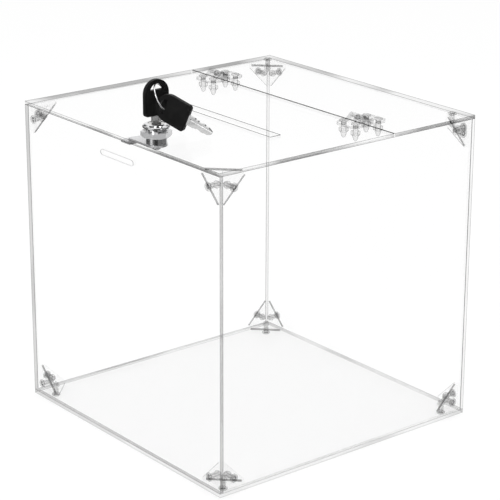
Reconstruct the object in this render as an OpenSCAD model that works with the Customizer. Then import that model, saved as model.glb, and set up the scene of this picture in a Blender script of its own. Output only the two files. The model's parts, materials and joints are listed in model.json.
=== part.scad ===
// Clear donation box: six acrylic sheets held by corner brackets and push rivets,
// with a hinged lid, a cam lock, and two keys on a ring.
// Front is -Y, the hinges are towards +Y, and Z = 0 is the surface the box stands on.

/* [Box] */
// Width of the box, left to right
box_w = 250; // [240:1:300]
// Depth of the box, front to back
box_d = 250; // [240:1:300]
// Height of the box over its sheets, without the rivet heads it stands on
box_h = 250; // [150:1:350]
// Thickness of the acrylic sheet
sheet = 3; // [2.8:0.1:3.2]

/* [Top] */
// Depth of the fixed strip behind the lid
strip_d = 84.5; // [70:0.5:95]
// Gap between the lid and the fixed strip
lid_gap = 1; // [0.6:0.1:1.4]
// Length of the donation slot
slot_l = 150; // [80:1:160]
// Width of the donation slot
slot_w = 10; // [6:0.5:12]
// Middle of the donation slot behind the front edge
slot_from_front = 91.5; // [85:0.5:95]

/* [Corner brackets] */
// Length of a bracket's legs
leg = 22.5; // [20:0.5:26]
// Width left at the cut-off end of a leg
leg_tip = 3.5; // [2:0.5:5]
// Thickness of a bracket's three flanges
flange_t = 1.8; // [1.5:0.1:2]
// Rivet hole from the two inner faces beside it
hole_in = 9.5; // [9.5:0.1:10]

/* [Rivets] */
// Diameter of a rivet head
head_d = 6.8; // [6:0.1:7.4]
// Height of a rivet head
head_h = 1.5; // [1.2:0.1:1.6]
// Diameter of a rivet shank
shank_d = 4; // [3.8:0.1:4.2]

/* [Hinges] */
// Length of a hinge along its pin
hinge_l = 23; // [20:1:26]
// Reach of a leaf from the pin
leaf_reach = 18; // [17:0.5:20]
// Thickness of a leaf
leaf_t = 2; // [1.8:0.1:2.1]
// Distance of each hinge from the middle of the box
hinge_x = 87.5; // [60:0.5:92]
// Height of the pin above the top sheet
pin_up = 3.8; // [3.7:0.1:4]

/* [Lock] */
// Lock axis behind the front edge
lock_from_front = 37; // [36.5:0.5:38]
// Diameter of the lock's chrome flange
bezel_d = 21; // [19:0.5:23]
// Diameter of the threaded barrel
barrel_d = 16; // [15.8:0.1:16.4]
// Depth of the barrel below the top of the lid
barrel_depth = 13; // [12:0.5:14]
// Reach of the cam's tongue from the lock axis
cam_reach = 36.7; // [36:0.1:37]
// Width of the cam
cam_w = 16; // [12:0.5:16]
// Length of the cam's slot in the front sheet
cam_slot_l = 42; // [41:0.5:46]
// Height of the cam's slot
cam_slot_h = 4.4; // [4.2:0.1:5]

/* [Keys] */
// Width of a key's plastic bow
bow_w = 22; // [20:0.5:23]
// Height of the bow
bow_h = 28; // [26:0.5:29]
// Thickness of the bow
bow_t = 3.2; // [3:0.1:3.4]
// Length of the blade below the bow
blade_l = 21.5; // [21:0.5:22]
// Outer diameter of the key ring
ring_d = 24.4; // [24:0.2:25]
// Thickness of the ring's wire
ring_wire = 1.2; // [1:0.1:1.3]

/* [Hidden] */
$fn = 64;
e = 0.01;                                  // cutters run this far past a face
clear_r = 0.05;                            // radial clearance of every running or sliding fit

// Heights and depths of the sheets
floor_z = head_h;                          // underside of the floor sheet
top_z = floor_z + box_h;                   // top face of the lid
wall_z = floor_z + sheet;                  // lower edge of the walls
wall_h = box_h - 2 * sheet;
hinge_y = box_d / 2 - strip_d;             // the pin's axis is over the middle of the gap
pin_z = top_z + pin_up;
strip_y = hinge_y + lid_gap / 2;           // front edge of the fixed strip
lid_y = hinge_y - lid_gap / 2;             // rear edge of the lid
slot_y = -box_d / 2 + slot_from_front;
lock_y = -box_d / 2 + lock_from_front;

// Inner corner of the four walls, and the rivet rows along them
in_x = box_w / 2 - sheet;
in_y = box_d / 2 - sheet;
row_x = in_x - hole_in;
row_y = in_y - hole_in;
row_z = [wall_z + hole_in, top_z - sheet - hole_in];
hole_d = shank_d + 2 * clear_r;

// Rivet: the sleeve's shank crosses the sheet and a bracket flange, then opens into a split barb
grip = sheet + flange_t;
barb_start = grip + 1.2;
barb_d = 6;
sleeve_l = 9.4;
pin_d = 2;
pin_l = 11;
pin_head_d = 3.4;
pin_recess = 0.8;
slit_w = 0.7;

// Hinge rivets go through a leaf and a top sheet, into a collar
leaf_grip = leaf_t + sheet;
collar_d = 7.4;
collar_h = 3;
leaf_tip_d = 5.2;
leaf_tip_l = 4.8;
leaf_hole_x = 6.75;
leaf_hole_y = 11.5;
knuckle_r = 2.6;
hinge_pin_r = 1.1;
knuckle_gap = 0.25;
leaf_corner = 4;
leaf_slope = 6;                            // the slope up to the knuckle starts this far from the pin

// Lock: everything below is stacked down from the top of the lid
bezel_h = 2.9;
barrel_flats = 14;
plug_d = 11;
plug_head_d = 13;
plug_head_h = 1.5;
plug_sunk = 0.3;                           // the plug's face below the top of the bezel
plug_z = top_z + bezel_h - plug_sunk;      // face of the plug
barrel_z = top_z - barrel_depth;           // lower end of the barrel
stop_h = 1;                                // stop washer, inside a step of the barrel's end
stop_r = 7;
tail_w = 7;                                // square tail that carries the washer and cam
cam_t = 1.6;
cam_top = barrel_z;
cam_drop = 3.8;                            // the tongue is stepped down by this
cam_step = 24.4;                           // the step's distance from the axis
washer_t = 0.8;
screw_head_h = 2.2;
nut_af = 21;
nut_h = 4.5;
cam_slot_z = cam_top - cam_drop - cam_t / 2;

// Keyway and wafers
blade_w = 8;
blade_t = 2;
keyway_gap = 0.15;                         // on each side of the blade
shank_out = 6.3;                           // blade showing between the plug and the bow
bow_z = plug_z + shank_out;                // flat end of the bow of the key in the lock
keyway_z = bow_z - blade_l - 0.2;
wafer_t = 1;
wafer_w = 5.6;
wafer_n = 5;
wafer_pitch = 2.1;
wafer_z0 = keyway_z + 2.2;

// Key bow: a half-round head over straight sides, with a segment-shaped hole
bow_r = bow_w / 2;
bow_corner = 2.5;
bow_hole_r = 6.4;
bow_hole_z = 18.6;                         // middle of the hole's arc
bow_hole_flat = 19.9;                      // its straight lower edge
bow_socket = 9;                            // depth the blade goes into the plastic

// Spare key: hangs on the ring, and leans with its blade on the lid
spare_at = [31.1, -81.4, top_z + 11.1];    // middle of its bow's flat end
spare_turn = [1, 68, 205];

// Ring: through both bows
ring_at = [3.4, -84.5, top_z + 22.5];
ring_turn = [0, 63, 38];

// ---------- Sheets ----------

// A rivet hole through a sheet that is flat in Z, at x and y
module drill(x, y, z, h) {
    translate([x, y, z - e]) cylinder(d = hole_d, h = h + 2 * e);
}

module floor_panel() {
    color([0.93, 0.95, 0.96, 0.35]) difference() {
        translate([-box_w / 2, -box_d / 2, floor_z]) cube([box_w, box_d, sheet]);
        for (x = [-row_x, row_x], y = [-row_y, row_y]) drill(x, y, floor_z, sheet);
    }
}

// Front and back sheets run the full width of the box
module cross_wall(y0) {
    difference() {
        translate([-box_w / 2, y0, wall_z]) cube([box_w, sheet, wall_h]);
        for (x = [-row_x, row_x], z = row_z)
            translate([x, y0 - e, z]) rotate([-90, 0, 0]) cylinder(d = hole_d, h = sheet + 2 * e);
    }
}

module front_panel() {
    end_r = cam_slot_h / 2;
    color([0.93, 0.95, 0.96, 0.35]) difference() {
        cross_wall(-box_d / 2);
        translate([0, -box_d / 2 - e, cam_slot_z]) rotate([-90, 0, 0]) {
            for (s = [-1, 1])
                translate([s * (cam_slot_l / 2 - end_r), 0, 0]) cylinder(r = end_r, h = sheet + 2 * e);
            translate([-cam_slot_l / 2 + end_r, -end_r, 0])
                cube([cam_slot_l - 2 * end_r, cam_slot_h, sheet + 2 * e]);
        }
    }
}

module back_panel() {
    color([0.93, 0.95, 0.96, 0.35]) cross_wall(box_d / 2 - sheet);
}

// The side sheets stand between the front and the back
module side_wall(x0) {
    color([0.93, 0.95, 0.96, 0.35]) difference() {
        translate([x0, -in_y, wall_z]) cube([sheet, 2 * in_y, wall_h]);
        for (y = [-row_y, row_y], z = row_z)
            translate([x0 - e, y, z]) rotate([0, 90, 0]) cylinder(d = hole_d, h = sheet + 2 * e);
    }
}

module rear_top_panel() {
    color([0.93, 0.95, 0.96, 0.35]) difference() {
        translate([-box_w / 2, strip_y, top_z - sheet]) cube([box_w, box_d / 2 - strip_y, sheet]);
        for (x = [-row_x, row_x]) drill(x, row_y, top_z - sheet, sheet);
        for (s = [-1, 1], x = [-leaf_hole_x, leaf_hole_x])
            drill(s * hinge_x + x, hinge_y + leaf_hole_y, top_z - sheet, sheet);
    }
}

module lid_panel() {
    color([0.93, 0.95, 0.96, 0.35]) difference() {
        translate([-box_w / 2, -box_d / 2, top_z - sheet]) cube([box_w, lid_y + box_d / 2, sheet]);
        translate([-slot_l / 2, slot_y - slot_w / 2, top_z - sheet - e])
            cube([slot_l, slot_w, sheet + 2 * e]);
        translate([0, lock_y, top_z - sheet - e]) linear_extrude(sheet + 2 * e) barrel_outline(clear_r);
        for (s = [-1, 1], x = [-leaf_hole_x, leaf_hole_x])
            drill(s * hinge_x + x, hinge_y - leaf_hole_y, top_z - sheet, sheet);
    }
}

// ---------- Corner brackets ----------

// One flange lying in XY, with its square corner at the origin
module flange() {
    linear_extrude(flange_t) difference() {
        polygon([[0, 0], [leg, 0], [leg, leg_tip], [leg_tip, leg], [0, leg]]);
        translate([hole_in, hole_in]) circle(d = hole_d);
    }
}

// Three flanges square to each other; sx, sy and sz say into which octant they reach
module bracket(sx, sy, sz) {
    corner_z = sz > 0 ? wall_z : top_z - sheet;
    color([0.88, 0.9, 0.91, 0.6])
        translate([-sx * in_x, -sy * in_y, corner_z])
            mirror([sx < 0 ? 1 : 0, 0, 0]) mirror([0, sy < 0 ? 1 : 0, 0]) mirror([0, 0, sz < 0 ? 1 : 0]) {
                flange();
                mirror([0, 1, -1]) flange();
                mirror([1, 0, -1]) flange();
            }
}

// ---------- Rivets ----------

// Sleeve of a push rivet: the head is outside Z = 0, and the split barb opens inside
module rivet_sleeve() {
    bevel = 0.5;
    color([0.9, 0.92, 0.93, 0.7]) difference() {
        rotate_extrude() polygon([
            [pin_d / 2 + clear_r, -head_h], [head_d / 2 - bevel, -head_h], [head_d / 2, -head_h + bevel],
            [head_d / 2, 0], [shank_d / 2, 0], [shank_d / 2, barb_start],
            [barb_d / 2, barb_start + 0.6], [shank_d / 2 + 0.2, sleeve_l], [pin_d / 2 + clear_r, sleeve_l]
        ]);
        translate([0, 0, -head_h - e]) cylinder(d = pin_head_d + 0.2, h = pin_recess + e);
        for (a = [0, 90]) rotate([0, 0, a])
            translate([-barb_d, -slit_w / 2, sheet + 0.5]) cube([2 * barb_d, slit_w, sleeve_l]);
    }
}

// Pin pushed down the middle of the sleeve, with a pointed end
module rivet_pin() {
    tip = 1.4;
    color([0.92, 0.94, 0.95, 0.8]) rotate_extrude() polygon([
        [0, -head_h + 0.1], [pin_head_d / 2, -head_h + 0.1], [pin_head_d / 2, -head_h + pin_recess],
        [pin_d / 2, -head_h + pin_recess], [pin_d / 2, pin_l - tip], [0.3, pin_l], [0, pin_l]
    ]);
}

// Puts its children on the four holes of one sheet, pointing inwards
module on_floor() {
    for (x = [-row_x, row_x], y = [-row_y, row_y]) translate([x, y, floor_z]) children();
}
module on_front() {
    for (x = [-row_x, row_x], z = row_z) translate([x, -box_d / 2, z]) rotate([-90, 0, 0]) children();
}
module on_back() {
    for (x = [-row_x, row_x], z = row_z) translate([x, box_d / 2, z]) rotate([90, 0, 0]) children();
}
module on_left() {
    for (y = [-row_y, row_y], z = row_z) translate([-box_w / 2, y, z]) rotate([0, 90, 0]) children();
}
module on_right() {
    for (y = [-row_y, row_y], z = row_z) translate([box_w / 2, y, z]) rotate([0, -90, 0]) children();
}
module on_rear_top() {
    for (x = [-row_x, row_x]) translate([x, row_y, top_z]) rotate([180, 0, 0]) children();
}

// ---------- Hinges ----------

// Half of a hinge, reaching to -Y from the pin; the knuckle sections are given as [start, length]
module leaf(knuckles) {
    touch_a = 148;                         // where the slope meets the knuckle, from +Y
    leaf_back = 0.6;                       // the foot of the knuckle keeps this far from the pin's plane
    color([0.88, 0.9, 0.91, 0.6]) difference() {
        union() {
            linear_extrude(leaf_t) polygon([
                [-hinge_l / 2, -knuckle_r - leaf_back], [-hinge_l / 2, -leaf_reach + leaf_corner],
                [-hinge_l / 2 + leaf_corner, -leaf_reach], [hinge_l / 2 - leaf_corner, -leaf_reach],
                [hinge_l / 2, -leaf_reach + leaf_corner], [hinge_l / 2, -knuckle_r - leaf_back]
            ]);
            for (k = knuckles) translate([k[0], 0, 0]) rotate([90, 0, 90]) linear_extrude(k[1]) {
                translate([0, pin_up]) circle(r = knuckle_r);
                polygon([
                    [-leaf_slope, 0], [-leaf_slope, leaf_t],
                    [knuckle_r * cos(touch_a), pin_up + knuckle_r * sin(touch_a)], [0, pin_up],
                    [0, pin_up - knuckle_r + 0.1], [-leaf_back, leaf_back], [-leaf_back, 0]
                ]);
            }
        }
        translate([-hinge_l, 0, pin_up]) rotate([0, 90, 0])
            cylinder(r = hinge_pin_r + clear_r, h = 2 * hinge_l);
        for (x = [-leaf_hole_x, leaf_hole_x]) drill(x, -leaf_hole_y, 0, leaf_t);
    }
}

knuckle_l = (hinge_l - 2 * knuckle_gap) / 3;
outer_knuckles = [[-hinge_l / 2, knuckle_l], [hinge_l / 2 - knuckle_l, knuckle_l]];
middle_knuckle = [[-knuckle_l / 2, knuckle_l]];

module front_leaf(s) {
    translate([s * hinge_x, hinge_y, top_z]) leaf(outer_knuckles);
}
module rear_leaf(s) {
    translate([s * hinge_x, hinge_y, top_z]) rotate([0, 0, 180]) leaf(middle_knuckle);
}
module hinge_pin(s) {
    color([0.85, 0.87, 0.88, 0.8])
        translate([s * hinge_x - hinge_l / 2, hinge_y, pin_z]) rotate([0, 90, 0])
            cylinder(r = hinge_pin_r, h = hinge_l);
}

// Pointed rivet of a hinge: the head is on the leaf at Z = 0 and the shank goes up +Z
module hinge_rivet() {
    bevel = 0.5;
    neck = leaf_grip + collar_h;
    color([0.9, 0.92, 0.93, 0.7]) rotate_extrude() polygon([
        [0, -head_h], [head_d / 2 - bevel, -head_h], [head_d / 2, -head_h + bevel], [head_d / 2, 0],
        [shank_d / 2, 0], [shank_d / 2, neck], [leaf_tip_d / 2, neck + 0.4],
        [1.5, neck + leaf_tip_l - 0.8], [0.8, neck + leaf_tip_l], [0, neck + leaf_tip_l]
    ]);
}
module hinge_collar() {
    color([0.9, 0.92, 0.93, 0.7]) translate([0, 0, leaf_grip]) rotate_extrude() polygon([
        [shank_d / 2 + clear_r, 0], [collar_d / 2, 0], [collar_d / 2, collar_h - 0.4],
        [collar_d / 2 - 0.4, collar_h], [shank_d / 2 + clear_r, collar_h]
    ]);
}

// Puts its children on the two rivet holes of both hinges; s is -1 for the lid's side
module on_leaves(s) {
    for (h = [-hinge_x, hinge_x], x = [-leaf_hole_x, leaf_hole_x])
        translate([h + x, hinge_y + s * leaf_hole_y, top_z + leaf_t]) rotate([180, 0, 0]) children();
}

// ---------- Lock ----------

// Round barrel with two flats, which stop it from turning in the lid
module barrel_outline(grow) {
    intersection() {
        circle(r = barrel_d / 2 + grow);
        square([barrel_flats + 2 * grow, barrel_d + 2], center = true);
    }
}

module lock_body() {
    dome = 3.4;
    color([0.8, 0.8, 0.82]) translate([0, lock_y, 0]) difference() {
        union() {
            translate([0, 0, barrel_z]) linear_extrude(top_z - barrel_z + e) barrel_outline(0);
            rotate_extrude() polygon([
                [0, top_z], [bezel_d / 2, top_z], [bezel_d / 2, top_z + 1.1],
                [bezel_d / 2 - 0.35, top_z + 1.6], [bezel_d / 2 - dome / 2, top_z + bezel_h - 0.35],
                [bezel_d / 2 - dome, top_z + bezel_h], [0, top_z + bezel_h]
            ]);
        }
        translate([0, 0, barrel_z - 1]) cylinder(r = plug_d / 2 + clear_r, h = barrel_depth + bezel_h + 2);
        translate([0, 0, plug_z - plug_head_h]) cylinder(r = plug_head_d / 2 + clear_r, h = bezel_h + 2);
        // Step at the lower end: the stop washer's tab turns in the open quarter and a bit more
        translate([0, 0, barrel_z - e]) linear_extrude(stop_h + e) {
            circle(r = plug_d / 2 + 0.2);
            stop_sector(stop_r + 0.1, 152, 298);
        }
    }
}

// Slice of a disc between two directions, in degrees
module stop_sector(r, a0, a1) {
    mid = (a0 + a1) / 2;
    intersection() {
        circle(r = r);
        polygon([
            [0, 0], [3 * r * cos(a0), 3 * r * sin(a0)], [3 * r * cos(mid), 3 * r * sin(mid)],
            [3 * r * cos(a1), 3 * r * sin(a1)]
        ]);
    }
}

module lock_nut() {
    cone_r = nut_af / 2 + 0.6;
    color([0.78, 0.78, 0.8]) translate([0, lock_y, top_z - sheet - nut_h]) difference() {
        intersection() {
            cylinder(d = nut_af / cos(30), h = nut_h, $fn = 6);
            rotate_extrude() polygon([
                [0, 0], [cone_r - 0.9, 0], [cone_r + 1.1, 1.3], [cone_r + 1.1, nut_h], [0, nut_h]
            ]);
        }
        translate([0, 0, -e]) cylinder(r = barrel_d / 2 + clear_r, h = nut_h + 2 * e);
    }
}

module keyway(len_y, wide) {
    square([wide, len_y], center = true);
}

module wafer_outline(grow) {
    intersection() {
        circle(r = plug_d / 2 - 0.2 + grow);
        square([wafer_w + 2 * grow, plug_d + 2], center = true);
    }
}

// The plug turns in the body: head, keyway, five wafer slots and a square tail
module lock_plug() {
    keyway_w = blade_t + 2 * keyway_gap;
    keyway_l = blade_w + 2 * keyway_gap;
    color([0.72, 0.72, 0.74]) translate([0, lock_y, 0]) difference() {
        union() {
            translate([0, 0, plug_z - plug_head_h]) cylinder(d = plug_head_d, h = plug_head_h);
            translate([0, 0, barrel_z + stop_h]) cylinder(d = plug_d, h = plug_z - barrel_z - stop_h - e);
            translate([-tail_w / 2, -tail_w / 2, barrel_z - cam_t])
                cube([tail_w, tail_w, cam_t + stop_h + e]);
        }
        translate([0, 0, keyway_z]) linear_extrude(plug_z - keyway_z + 1) keyway(keyway_l, keyway_w);
        for (i = [0:wafer_n - 1]) translate([0, 0, wafer_z0 + i * wafer_pitch])
            linear_extrude(wafer_t + 0.2) wafer_outline(0.1);
        translate([0, 0, barrel_z - cam_t - 1]) cylinder(d = 3.1, h = cam_t + 1 + 0.1);
    }
}

module lock_wafers() {
    color("goldenrod") translate([0, lock_y, 0])
        for (i = [0:wafer_n - 1]) translate([0, 0, wafer_z0 + i * wafer_pitch]) linear_extrude(wafer_t)
            difference() {
                wafer_outline(0);
                keyway(blade_w + 0.5, blade_t + 0.5);
            }
}

module stop_washer() {
    color([0.7, 0.7, 0.72]) translate([0, lock_y, barrel_z]) linear_extrude(stop_h - 0.1) difference() {
        union() {
            circle(r = plug_d / 2);
            stop_sector(stop_r, 153, 207);
        }
        square(tail_w + 0.1, center = true);
    }
}

// Flat cam with a stepped tongue, pointing left (unlocked) at rest
module lock_cam() {
    run = 1.2;                             // how far the step leans over its drop
    tip = 1.5;                             // corners cut off the tongue's end
    color([0.75, 0.75, 0.77]) translate([0, lock_y, cam_top]) difference() {
        union() {
            translate([0, 0, -cam_t]) cylinder(d = cam_w + 1, h = cam_t);
            rotate([90, 0, 0]) linear_extrude(cam_w, center = true) polygon([
                [0, 0], [-cam_step - run / 2, 0], [-cam_step - run, -cam_drop], [-cam_reach, -cam_drop],
                [-cam_reach, -cam_drop - cam_t], [-cam_step - run + cam_t, -cam_drop - cam_t],
                [-cam_step - run / 2 + cam_t, -cam_t], [0, -cam_t]
            ]);
        }
        translate([0, 0, -cam_t - 1]) linear_extrude(cam_t + 2) square(tail_w + 0.1, center = true);
        for (s = [-1, 1]) translate([-cam_reach, s * cam_w / 2, -cam_drop - cam_t - 1])
            rotate([0, 0, 45]) linear_extrude(cam_t + 2) square(tip * sqrt(2), center = true);
    }
}

module cam_washer() {
    color([0.7, 0.7, 0.72]) translate([0, lock_y, cam_top - cam_t - washer_t]) difference() {
        cylinder(d = 11, h = washer_t);
        translate([0, 0, -e]) cylinder(d = 3.2, h = washer_t + 2 * e);
    }
}

module cam_screw() {
    head_z = cam_top - cam_t - washer_t - screw_head_h;
    color([0.7, 0.7, 0.72]) translate([0, lock_y, head_z]) difference() {
        union() {
            rotate_extrude() polygon([[0, 0], [2.6, 0], [3.4, 0.8], [3.4, screw_head_h], [0, screw_head_h]]);
            cylinder(d = 3, h = screw_head_h + washer_t + cam_t);
        }
        for (a = [0, 90]) rotate([0, 0, a]) translate([-1.8, -0.4, -e]) cube([3.6, 0.8, 1.2]);
    }
}

// ---------- Keys ----------

// Key bow in XZ, standing on Z = 0 and centred on Y
module bow() {
    color([0.06, 0.06, 0.06]) rotate([90, 0, 0]) difference() {
        linear_extrude(bow_t, center = true) difference() {
            union() {
                translate([0, bow_h - bow_r]) circle(r = bow_r);
                translate([-bow_r, bow_corner]) square([bow_w, bow_h - bow_r - bow_corner]);
                translate([-bow_r + bow_corner, 0]) square([bow_w - 2 * bow_corner, bow_h - bow_r]);
                for (s = [-1, 1]) translate([s * (bow_r - bow_corner), bow_corner]) circle(r = bow_corner);
            }
            difference() {
                translate([0, bow_hole_z]) circle(r = bow_hole_r);
                translate([-bow_r, 0]) square([bow_w, bow_hole_flat]);
            }
        }
        // Socket moulded round the blade's root
        linear_extrude(blade_t, center = true)
            translate([-blade_w / 2, -e]) square([blade_w, bow_socket + e]);
    }
}

// Blade under the bow: stepped cuts on both edges, a pointed end and a groove on each face
module blade() {
    root = blade_w / 2;
    low = root - 1.2;
    mid = root - 0.6;
    groove_x = 1.2;
    groove_w = 0.9;
    groove_deep = 0.5;
    color([0.78, 0.77, 0.74]) rotate([90, 0, 0]) difference() {
        linear_extrude(blade_t, center = true) polygon([
            [-root, bow_socket], [-root, -5], [-mid, -6.2], [-mid, -8], [-low, -9.2], [-low, -11],
            [-mid, -12.2], [-mid, -14], [-low, -15.2], [-low, -18], [-1.2, -blade_l], [1.2, -blade_l],
            [low, -18.6], [low, -16], [mid, -14.8], [mid, -13], [low, -11.8], [low, -9.6], [mid, -8.4],
            [mid, -7], [root, -5.8], [root, bow_socket]
        ]);
        for (s = [-1, 1]) translate([s * groove_x, 0, s > 0 ? blade_t / 2 - groove_deep : -blade_t / 2 - e])
            translate([-groove_w / 2, -blade_l - e, 0]) cube([groove_w, blade_l - 2, groove_deep + e]);
    }
}

module in_lock() {
    translate([0, lock_y, bow_z]) rotate([0, 0, 90]) children();
}
module as_spare() {
    translate(spare_at) rotate(spare_turn) children();
}

module key_ring() {
    color([0.8, 0.8, 0.82]) translate(ring_at) rotate(ring_turn) rotate_extrude()
        translate([(ring_d - ring_wire) / 2, 0]) circle(d = ring_wire);
}

// ---------- Nodes ----------

floor_panel();
front_panel();
back_panel();
side_wall(-box_w / 2);  // left_panel
side_wall(box_w / 2 - sheet);  // right_panel
rear_top_panel();

bracket(1, 1, 1);  // bracket_floor_front_left
bracket(-1, 1, 1);  // bracket_floor_front_right
bracket(1, -1, 1);  // bracket_floor_back_left
bracket(-1, -1, 1);  // bracket_floor_back_right
bracket(1, 1, -1);  // bracket_top_front_left
bracket(-1, 1, -1);  // bracket_top_front_right
bracket(1, -1, -1);  // bracket_top_back_left
bracket(-1, -1, -1);  // bracket_top_back_right

on_floor() rivet_sleeve();  // floor_rivets
on_floor() rivet_pin();  // floor_rivet_pins
on_front() rivet_sleeve();  // front_rivets
on_front() rivet_pin();  // front_rivet_pins
on_back() rivet_sleeve();  // back_rivets
on_back() rivet_pin();  // back_rivet_pins
on_left() rivet_sleeve();  // left_rivets
on_left() rivet_pin();  // left_rivet_pins
on_right() rivet_sleeve();  // right_rivets
on_right() rivet_pin();  // right_rivet_pins
on_rear_top() rivet_sleeve();  // rear_top_rivets
on_rear_top() rivet_pin();  // rear_top_rivet_pins

rear_leaf(-1);  // hinge_rear_leaf_left
rear_leaf(1);  // hinge_rear_leaf_right
hinge_pin(-1);  // hinge_pin_left
hinge_pin(1);  // hinge_pin_right
on_leaves(1) hinge_rivet();  // rear_hinge_rivets
on_leaves(1) hinge_collar();  // rear_hinge_collars

lid_panel();
front_leaf(-1);  // hinge_front_leaf_left
front_leaf(1);  // hinge_front_leaf_right
on_leaves(-1) hinge_rivet();  // lid_hinge_rivets
on_leaves(-1) hinge_collar();  // lid_hinge_collars
lock_body();
lock_nut();

lock_plug();
lock_wafers();
stop_washer();
lock_cam();
cam_washer();
cam_screw();

in_lock() blade();  // key_blade
in_lock() bow();  // key_bow
key_ring();
as_spare() blade();  // spare_key_blade
as_spare() bow();  // spare_key_bow
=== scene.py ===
import json
import math

import bpy
from mathutils import Matrix, Vector


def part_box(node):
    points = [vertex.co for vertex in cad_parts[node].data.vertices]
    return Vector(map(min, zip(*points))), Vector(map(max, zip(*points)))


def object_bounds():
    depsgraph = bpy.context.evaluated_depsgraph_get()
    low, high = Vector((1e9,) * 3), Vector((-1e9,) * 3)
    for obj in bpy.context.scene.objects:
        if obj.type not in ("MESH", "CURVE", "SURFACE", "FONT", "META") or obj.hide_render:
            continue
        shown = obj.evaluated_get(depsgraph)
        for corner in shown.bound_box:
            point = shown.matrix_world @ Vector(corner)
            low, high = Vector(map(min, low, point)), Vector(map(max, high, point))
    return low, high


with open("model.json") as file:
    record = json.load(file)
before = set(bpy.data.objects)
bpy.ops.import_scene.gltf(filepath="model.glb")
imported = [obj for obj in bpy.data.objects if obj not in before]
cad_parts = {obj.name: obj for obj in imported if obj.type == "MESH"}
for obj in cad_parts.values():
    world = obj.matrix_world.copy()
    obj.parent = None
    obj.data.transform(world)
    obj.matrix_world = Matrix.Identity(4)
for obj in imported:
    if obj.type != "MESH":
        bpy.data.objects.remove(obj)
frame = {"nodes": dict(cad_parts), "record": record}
cad_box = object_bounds()
nodes = frame["nodes"]
scene = bpy.context.scene

# ---------- Places and sizes, from the frame ----------

MM = 0.001

# Each sheet and the axis across its thickness
PANELS = {
    "floor_panel": "Z", "rear_top_panel": "Z", "lid_panel": "Z",
    "front_panel": "Y", "back_panel": "Y",
    "left_panel": "X", "right_panel": "X",
}
front_low, front_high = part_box("front_panel")
SHEET = front_high.y - front_low.y
BOX_MIDDLE = (cad_box[0] + cad_box[1]) / 2

# A cut edge lies on the box's outside, or at a sheet's end, where it comes this near to it
EDGE_TOLERANCE = 0.1 * MM

# ---------- Camera ----------

CAMERA_AZIMUTH = math.radians(51.14)
CAMERA_ELEVATION = math.radians(19.18)
CAMERA_ROLL = math.radians(0.2)
CAMERA_DISTANCE = 1.567
LENS = 140.8
SENSOR_WIDTH = 36

# The camera looks past the middle of the walls by these
AIM_RIGHT = 2.43 * MM
AIM_UP = 7.12 * MM


def make_camera():
    back = Vector((
        math.sin(CAMERA_AZIMUTH) * math.cos(CAMERA_ELEVATION),
        -math.cos(CAMERA_AZIMUTH) * math.cos(CAMERA_ELEVATION),
        math.sin(CAMERA_ELEVATION),
    ))
    turn = (-back).to_track_quat("-Z", "Y")
    right = turn @ Vector((1, 0, 0))
    up = turn @ Vector((0, 1, 0))
    middle = Vector((0, 0, (front_low.z + front_high.z) / 2))
    data = bpy.data.cameras.new("camera")
    data.lens = LENS
    data.sensor_width = SENSOR_WIDTH
    camera = bpy.data.objects.new("camera", data)
    scene.collection.objects.link(camera)
    camera.location = middle + right * AIM_RIGHT + up * AIM_UP + back * CAMERA_DISTANCE
    camera.rotation_mode = "QUATERNION"
    roll = Matrix.Rotation(CAMERA_ROLL, 3, back).to_quaternion()
    camera.rotation_quaternion = roll @ turn
    scene.camera = camera


# ---------- Node helpers ----------

def with_alpha(colour):
    """A grey or a colour as the four numbers of a colour socket; a socket stays as it is."""
    if isinstance(colour, float):
        return (colour, colour, colour, 1)
    if isinstance(colour, tuple):
        return (*colour, 1)
    return colour


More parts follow.
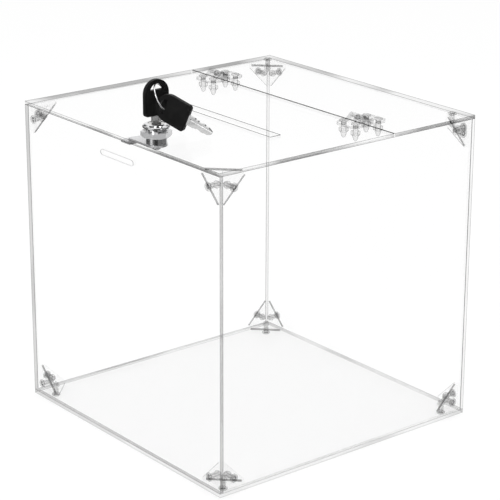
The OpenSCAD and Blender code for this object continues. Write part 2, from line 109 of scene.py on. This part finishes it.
class Nodes:
    """A node tree, with short ways to add and join nodes."""

    def __init__(self, tree):
        self.tree = tree
        tree.nodes.clear()

    def add(self, kind, **values):
        node = self.tree.nodes.new(kind)
        for name, value in values.items():
            setattr(node, name, value)
        return node

    def put(self, node, socket, value):
        """Links an output socket, or sets a plain value."""
        target = node.inputs[socket]
        if isinstance(value, bpy.types.NodeSocket):
            self.tree.links.new(value, target)
        else:
            target.default_value = value

    def math(self, operation, *values):
        node = self.add("ShaderNodeMath", operation=operation)
        for socket, value in enumerate(values):
            self.put(node, socket, value)
        return node.outputs[0]

    def math_over(self, operation, values):
        """One operation worked through a list, such as the greatest of several values."""
        result = values[0]
        for value in values[1:]:
            result = self.math(operation, result, value)
        return result

    def split(self, vector):
        """The parts of a vector, by the letters X, Y and Z."""
        node = self.add("ShaderNodeSeparateXYZ")
        self.put(node, 0, vector)
        return node.outputs

    def ramp(self, factor, stops):
        """Greys or colours at places from 0 to 1, blended evenly between them."""
        node = self.add("ShaderNodeValToRGB")
        elements = node.color_ramp.elements
        while len(elements) < len(stops):
            elements.new(0.5)
        for element, (place, colour) in zip(elements, stops):
            element.position = place
            element.color = with_alpha(colour)
        self.put(node, 0, factor)
        return node.outputs[0]

    def noise(self, place, scale=1.0, detail=2.0, roughness=0.5):
        node = self.add("ShaderNodeTexNoise")
        self.put(node, "Vector", place)
        self.put(node, "Scale", scale)
        self.put(node, "Detail", detail)
        self.put(node, "Roughness", roughness)
        return node.outputs["Fac"]

    def bump(self, height, distance, strength=1.0):
        node = self.add("ShaderNodeBump")
        self.put(node, "Height", height)
        self.put(node, "Distance", distance)
        self.put(node, "Strength", strength)
        return node.outputs[0]

    def coordinates(self, output="Object", scale=None):
        place = self.add("ShaderNodeTexCoord").outputs[output]
        if scale is None:
            return place
        node = self.add("ShaderNodeMapping")
        self.put(node, "Vector", place)
        self.put(node, "Scale", scale)
        return node.outputs[0]

    def turned_away(self, power):
        """0 where a surface lies square to the view and 1 at its outline, to a power."""
        weight = self.add("ShaderNodeLayerWeight")
        self.put(weight, "Blend", 0.5)
        return self.math("POWER", weight.outputs["Facing"], power)

    def tone_between(self, factor, first, second):
        """A tint between two, each a socket or a plain grey."""
        node = self.add("ShaderNodeMix", data_type="RGBA")
        self.put(node, 0, factor)
        self.put(node, "A", with_alpha(first))
        self.put(node, "B", with_alpha(second))
        return node.outputs["Result"]

    def glow(self, colour):
        node = self.add("ShaderNodeEmission")
        self.put(node, "Color", with_alpha(colour))
        return node.outputs[0]

    def mix(self, factor, first, second):
        """One shader over another."""
        node = self.add("ShaderNodeMixShader")
        self.put(node, 0, factor)
        self.put(node, 1, first)
        self.put(node, 2, second)
        return node.outputs[0]

    def show(self, shader):
        node = self.add("ShaderNodeOutputMaterial")
        self.put(node, "Surface", shader)


def material(name):
    made = bpy.data.materials.new(name)
    made.use_nodes = True
    return made, Nodes(made.node_tree)


# ---------- Clear plastic ----------

# Share of a clear surface that mirrors when seen square on, and how much more at its outline
GLOSS_SQUARE_ON = 0.01
GLOSS_AT_OUTLINE = 0.08

# How closely the streaks of light in cut edges vary, along a sheet and across its thickness
STREAKS_ALONG = 9
STREAKS_ACROSS = 40

# What the cut edges inside holes and between sheets let through, and their dark outer rims of
# painted shade
INNER_EDGE = 0.97
INNER_RIM_SHADE = 0.12

# Thick spots of a moulding let through its tint to this power
THICK_SPOTS = 1.3

# Roughness of cut edges and of moulded surfaces; the sheets' faces are smooth
CUT_ROUGHNESS = 0.1
MOULDED_ROUGHNESS = 0.06


def clear_gloss(n, tint, roughness=0.0):
    """A clear surface that lets a tint through, with the soft reflection of polished plastic."""
    pane = n.add("ShaderNodeBsdfTransparent")
    n.put(pane, "Color", with_alpha(tint))
    gloss = n.add("ShaderNodeBsdfGlossy")
    n.put(gloss, "Color", with_alpha(1.0))
    n.put(gloss, "Roughness", roughness)
    reflects = n.math("MULTIPLY_ADD", n.turned_away(5.0), GLOSS_AT_OUTLINE, GLOSS_SQUARE_ON)
    return n.mix(reflects, pane.outputs[0], gloss.outputs[0])


def is_outer_edge(n, axis, low, high):
    """1 on cut edges on the box's outside and on the top and bottom edges of its walls."""
    place = n.split(n.coordinates())
    sideways = [n.math("ABSOLUTE", place[letter]) for letter in "XY"]
    outside = front_high.x - EDGE_TOLERANCE
    is_outer = n.math("GREATER_THAN", n.math_over("MAXIMUM", sideways), outside)
    if axis == "Z":
        return is_outer
    height = n.math("ABSOLUTE", n.math("SUBTRACT", place["Z"], (low.z + high.z) / 2))
    is_end = n.math("GREATER_THAN", height, (high.z - low.z) / 2 - EDGE_TOLERANCE)
    return n.math("MAXIMUM", is_outer, is_end)


def acrylic(name, tint, pale, grey, rim_shade):
    """Polished sheet: clear faces, cut edges that gather light in long streaks, and fine rims of
    painted shade.
    """
    made, n = material("clear_acrylic_" + name)
    axis = PANELS[name]
    across = "XYZ".index(axis)
    low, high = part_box(name)
    middle = (low[across] + high[across]) / 2

    # From -1 on the sheet's inner face to 1 on its outer one
    outwards = math.copysign(1, middle - BOX_MIDDLE[across])
    depth = n.math("SUBTRACT", n.split(n.coordinates())[axis], middle)
    depth = n.math("MULTIPLY", depth, outwards / (SHEET / 2))

    stretch = [STREAKS_ALONG] * 3
    stretch[across] = STREAKS_ACROSS
    streaks = n.noise(n.coordinates("Object", stretch))
    band = n.ramp(streaks, [(0.46, grey), (0.56, pale)])
    # The dark rims along the borders of cut edges are painted shade
    outer_rim_shade = n.ramp(n.math("ABSOLUTE", depth), [(0.72, 0.0), (0.9, 1.0)])
    outer_tone = n.tone_between(outer_rim_shade, band, rim_shade)
    inner_tone = n.ramp(depth, [(0.66, INNER_EDGE), (0.8, INNER_RIM_SHADE)])
    tone = n.tone_between(is_outer_edge(n, axis, low, high), inner_tone, outer_tone)

    facing = n.math("ABSOLUTE", n.split(n.coordinates("Normal"))[axis])
    is_face = n.math("GREATER_THAN", facing, 0.5)
    n.show(n.mix(is_face, clear_gloss(n, tone, CUT_ROUGHNESS), clear_gloss(n, tint)))
    return made


def clear_moulding(name, axes, tints_and_shade, outline):
    """Clear moulding, tinted by how its faces lean: 0 on sides along an axis, 1 on ends across it.
    The darker tints are partly painted shade, standing in for the dark lines where clear plastic
    bends and mirrors light at its edges.

    Of several axes, the one that a face looks along most counts. As in glass, what curves away from
    view darkens to an outline, which leaves the flat ends clear.
    """
    made, n = material(name)
    normal = n.split(n.coordinates("Normal"))
    parts = [n.math("ABSOLUTE", normal[letter]) for letter in axes]
    lean = n.math_over("MAXIMUM", parts)
    # Darker tints at some leans are painted shade for the dark edges of clear plastic
    thick = n.ramp(lean, [(place, tint ** THICK_SPOTS) for place, tint in tints_and_shade])
    uneven = n.ramp(n.noise(n.coordinates(), 220), [(0.38, 0.0), (0.62, 1.0)])
    tone = n.tone_between(uneven, thick, n.ramp(lean, tints_and_shade))
    is_side = n.ramp(lean, [(0.85, 1.0), (0.97, 0.0)])
    curved = n.math("MULTIPLY", n.turned_away(2.0), is_side)
    n.show(clear_gloss(n, n.tone_between(curved, tone, outline), MOULDED_ROUGHNESS))
    return made


# What each sheet's faces let through, and the pale and grey streaks and the painted dark rims of
# its cut edges
SHEET_TONES = {
    "floor_panel": (0.975, 0.93, 0.78, 0.5),
    "lid_panel": (0.996, 0.95, 0.48, 0.3),
    "rear_top_panel": (0.996, 0.9, 0.42, 0.3),
    "front_panel": (0.996, 0.68, 0.6, 0.3),
    "back_panel": (0.996, 0.97, 0.9, 0.15),
    "left_panel": (0.996, 0.9, 0.7, 0.3),
    "right_panel": (0.996, 0.9, 0.7, 0.3),
}

# Tints by lean, the darker ones partly painted shade: the long sloping edges of a bracket's flanges
# lean 0.71 and get painted dark lines
BRACKET_TINTS_AND_SHADE = [(0.72, 0.45), (0.75, 0.98), (0.96, 0.98), (0.98, 0.985)]
HINGE_TINTS_AND_SHADE = [(0.02, 0.8), (0.2, 0.975), (0.88, 0.975), (0.98, 0.985)]
RIVET_TINTS_AND_SHADE = [(0.02, 0.985), (0.2, 0.93), (0.88, 0.93), (0.98, 0.76)]

# Each moulding's axes, its tints with painted shade, and what its outline lets through
MOULDINGS = {
    "clear_bracket": ("XYZ", BRACKET_TINTS_AND_SHADE, 0.95),
    "clear_hinge": ("Z", HINGE_TINTS_AND_SHADE, 0.65),
    "clear_rivet_x": ("X", RIVET_TINTS_AND_SHADE, 0.5),
    "clear_rivet_y": ("Y", RIVET_TINTS_AND_SHADE, 0.5),
    "clear_rivet_z": ("Z", RIVET_TINTS_AND_SHADE, 0.5),
}

# The way that each row of rivets points, by the first word of its name
RIVET_WAYS = {
    "floor": "z", "rear": "z", "lid": "z",
    "front": "y", "back": "y",
    "left": "x", "right": "x",
}

# ---------- Metal and black plastic ----------

# Colour, roughness, how closely scratches lie along X, Y and Z, their depth, and how metallic it
# is: a dull plating is less than wholly metallic
METALS = {
    "chrome": ((0.8, 0.8, 0.81), 0.06, (400, 400, 1500), 0.01 * MM, 1.0),
    "zinc_nut": ((0.8, 0.8, 0.81), 0.12, (900, 900, 300), 0.02 * MM, 0.5),
    "nickel_plug": ((0.62, 0.61, 0.6), 0.22, (1200, 1200, 1200), 0.02 * MM, 1.0),
    "brass": ((0.75, 0.55, 0.25), 0.25, (900, 900, 900), 0.02 * MM, 1.0),
    "cam_steel": ((0.68, 0.68, 0.69), 0.3, (2500, 250, 800), 0.03 * MM, 0.75),
    "key_nickel": ((0.82, 0.82, 0.82), 0.12, (1500, 1500, 300), 0.02 * MM, 0.85),
    "ring_wire": ((0.8, 0.8, 0.81), 0.1, (900, 900, 900), 0.01 * MM, 1.0),
}

# Worn patches keep this share of a metal's brightness
WORN = 0.86

# Painted shade darkens the metal where another surface of the piece is nearer than this
CREVICE_SHADE_REACH = 0.8 * MM


def metal(name, colour, roughness, scratches, depth, metallic):
    """Metal with fine scratches, worn patches and painted shade in its crevices."""
    made, n = material(name)
    shader = n.add("ShaderNodeBsdfPrincipled")
    n.put(shader, "Metallic", metallic)
    dark = tuple(part * WORN for part in colour)
    worn = n.ramp(n.noise(n.coordinates(), 60), [(0.3, dark), (0.7, colour)])
    # Painted shade: crevices, found by occlusion, darken towards near black
    crevice_occlusion = n.add("ShaderNodeAmbientOcclusion", samples=8, only_local=True)
    n.put(crevice_occlusion, "Distance", CREVICE_SHADE_REACH)
    painted_crevice_shade = n.ramp(crevice_occlusion.outputs["AO"], [(0.35, 1.0), (0.8, 0.0)])
    n.put(shader, "Base Color", n.tone_between(painted_crevice_shade, worn, 0.03))
    grain = n.noise(n.coordinates("Object", scratches), detail=3.0, roughness=0.6)
    n.put(shader, "Roughness", n.math("MULTIPLY_ADD", grain, roughness * 0.6, roughness * 0.7))
    n.put(shader, "Normal", n.bump(grain, depth))
    n.show(shader.outputs[0])
    return made


def black_plastic():
    """Satin moulded plastic, with a fine grain and a faint mottle."""
    made, n = material("black_plastic")
    shader = n.add("ShaderNodeBsdfPrincipled")
    grain = n.noise(n.coordinates(), 2600, roughness=0.6)
    mottle = n.noise(n.coordinates(), 150, detail=3.0, roughness=0.6)
    n.put(shader, "Base Color", n.ramp(mottle, [(0.3, 0.004), (0.75, 0.008)]))
    n.put(shader, "Specular IOR Level", 0.14)
    n.put(shader, "Roughness", n.math("MULTIPLY_ADD", mottle, 0.16, 0.34))
    n.put(shader, "Normal", n.bump(grain, 0.03 * MM, 0.6))
    n.show(shader.outputs[0])
    return made


# ---------- Finish of the CAD pieces ----------

def make_materials():
    """One material for each slot, but one for each sheet and one for each way that rivets point."""
    made = {"black_plastic": black_plastic()}
    for name, look in SHEET_TONES.items():
        made[name] = acrylic(name, *look)
    for name, look in MOULDINGS.items():
        made[name] = clear_moulding(name, *look)
    for name, look in METALS.items():
        made[name] = metal(name, *look)
    return made


def finish_cad_nodes():
    made = make_materials()
    for part in frame["record"]["subparts"]:
        name = part["node"]
        slot = part["material_slot"]
        node = nodes[name]
        if name in PANELS:
            look = made[name]
        elif slot == "clear_rivet":
            look = made["clear_rivet_" + RIVET_WAYS[name.split("_")[0]]]
        else:
            look = made[slot]
        node.data.materials.clear()
        node.data.materials.append(look)


# ---------- Studio ----------

# Bands of light round the object, as shares of a turn and how bright: low ones lie on the studio
# floor, high ones stand about the object in a light tent
LOW_BANDS = [
    (0.0, 0.01), (0.12, 0.01), (0.15, 0.1), (0.19, 0.12), (0.22, 0.8), (0.262, 0.8), (0.285, 0.22),
    (0.31, 0.2), (0.34, 0.05), (0.38, 0.01), (0.47, 0.01), (0.485, 0.8), (0.51, 0.8), (0.53, 0.15),
    (0.63, 0.15), (0.66, 0.03), (0.72, 0.05), (0.76, 0.7), (0.82, 0.7), (0.86, 0.3), (0.89, 0.03),
    (0.97, 0.02),
]
HIGH_BANDS = [
    (0.0, 0.08), (0.04, 0.6), (0.1, 0.8), (0.13, 0.02), (0.24, 0.02), (0.27, 1.0), (0.52, 1.0),
    (0.55, 0.02), (0.63, 0.02), (0.65, 0.9), (0.72, 0.9), (0.75, 0.1), (0.8, 0.1), (0.83, 1.0),
    (0.95, 1.0), (0.98, 0.08),
]

# How steeply a ray climbs, as the sine of its angle, where the tent's bands give way to white
TENT_TOP = [(0.5, 0.0), (0.75, 1.0)]

# Half the studio floor's side, how far it lies below the box, and the shares of that half over
# which the low bands give way to the high ones
FLOOR_HALF = 4.0
FLOOR_DROP = 0.05 * MM
LOW_BANDS_END = [(0.27, 0.0), (0.31, 1.0)]

# The floor's grey, and the share of it that takes light and shade; the rest is plain white
FLOOR_GREY = 0.9
FLOOR_SHADE = 0.3

# Each light's place, the point that it faces, its width and height, and its power in watts
LIGHTS = {
    "soft_front": ((0.4, -1.4, 1.0), (0, 0, 0.15), (0.5, 0.9), 6),
    "soft_top": ((0, 0, 1.8), (0, 0, 0), (1.2, 1.2), 6),
}

# Light crosses many clear surfaces in a row
BOUNCES = 32


def bands(n, way, stops):
    """Light and dark by the way round, for what metal reflects."""
    round_about = n.add("ShaderNodeTexGradient", gradient_type="RADIAL")
    n.put(round_about, 0, way)
    return n.ramp(round_about.outputs[0], stops)


def sees_bands(n):
    """1 for reflections in metal and rough gloss; the camera and sharp ones see plain white."""
    path = n.add("ShaderNodeLightPath")
    soft = n.math("SUBTRACT", 1.0, path.outputs["Is Singular Ray"])
    return n.math("MULTIPLY", path.outputs["Is Glossy Ray"], soft)


def floor_paint():
    made, n = material("studio_floor")
    shade = n.add("ShaderNodeBsdfDiffuse")
    n.put(shade, "Color", with_alpha(FLOOR_GREY))
    plain = n.mix(FLOOR_SHADE, n.glow(1.0), shade.outputs[0])
    place = n.coordinates()
    away = n.add("ShaderNodeVectorMath", operation="LENGTH")
    n.put(away, 0, place)
    far = n.ramp(n.math("DIVIDE", away.outputs["Value"], FLOOR_HALF), LOW_BANDS_END)
    card = n.tone_between(far, bands(n, place, LOW_BANDS), bands(n, place, HIGH_BANDS))
    n.show(n.mix(sees_bands(n), plain, n.glow(card)))
    return made


def make_floor():
    mesh = bpy.data.meshes.new("studio_floor")
    turns = [(-1, -1), (1, -1), (1, 1), (-1, 1)]
    corners = [(x * FLOOR_HALF, y * FLOOR_HALF, -FLOOR_DROP) for x, y in turns]
    mesh.from_pydata(corners, [], [(0, 1, 2, 3)])
    floor = bpy.data.objects.new("studio_floor", mesh)
    scene.collection.objects.link(floor)
    mesh.materials.append(floor_paint())


def make_world():
    """Plain white to look at; metal sees the bands of the tent, and white above them."""
    world = bpy.data.worlds.new("studio")
    scene.world = world
    world.use_nodes = True
    n = Nodes(world.node_tree)
    way = n.coordinates("Generated")
    above = n.ramp(n.split(way)["Z"], TENT_TOP)
    light = n.math("MAXIMUM", bands(n, way, HIGH_BANDS), above)
    shown = n.math("MAXIMUM", light, n.math("SUBTRACT", 1.0, sees_bands(n)))
    background = n.add("ShaderNodeBackground")
    n.put(background, "Color", shown)
    output = n.add("ShaderNodeOutputWorld")
    n.put(output, "Surface", background.outputs[0])


def area_light(name, place, aim, size, power):
    data = bpy.data.lights.new(name, "AREA")
    data.shape = "RECTANGLE"
    data.size, data.size_y = size
    data.energy = power
    light = bpy.data.objects.new(name, data)
    scene.collection.objects.link(light)
    light.location = place
    light.rotation_euler = (Vector(aim) - Vector(place)).to_track_quat("-Z", "Y").to_euler()


# ---------- The scene ----------

make_camera()
make_floor()
make_world()
for light_name, setting in LIGHTS.items():
    area_light(light_name, *setting)
finish_cad_nodes()
scene.view_settings.view_transform = "Standard"
scene.cycles.max_bounces = BOUNCES
scene.cycles.transparent_max_bounces = BOUNCES
